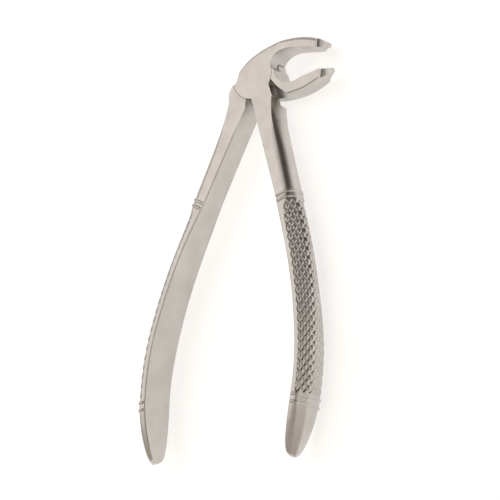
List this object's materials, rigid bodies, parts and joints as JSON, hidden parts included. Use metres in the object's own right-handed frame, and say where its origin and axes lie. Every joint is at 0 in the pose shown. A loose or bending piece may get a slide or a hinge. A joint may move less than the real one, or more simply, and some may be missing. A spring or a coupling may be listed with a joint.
{
  "type": "dental extraction forceps",
  "caption": "Crossed-handle extraction forceps with a half-lap lock, bowed knurled handles and hooked molar beaks set square to the handles.",
  "frame": {"origin": "on the pivot axis, at the lock's rear face", "axes": "+Z along the pivot axis to the front face, +Y to the head, so the handles run along -Y, +X to the beaks' tips"},
  "size_m": [0.0832, 0.1613, 0.0154],
  "materials": {
    "front_half": "satin ground stainless steel, knurled grip",
    "rear_half": "satin ground stainless steel, knurled grip",
    "pivot_rivet": "ground flush with the lock"
  },
  "bodies": {
    "front": {"front_half": "front_half", "pivot_rivet": "pivot_rivet"},
    "rear": {"rear_half": "rear_half"}
  },
  "joints": [
    {"name": "lock_pivot", "type": "hinge", "parent": "front", "child": "rear", "pos_m": [0, 0, 0.0045], "axis": [0, 0, 1], "range_deg": [-10, 14.5]}
  ]
}
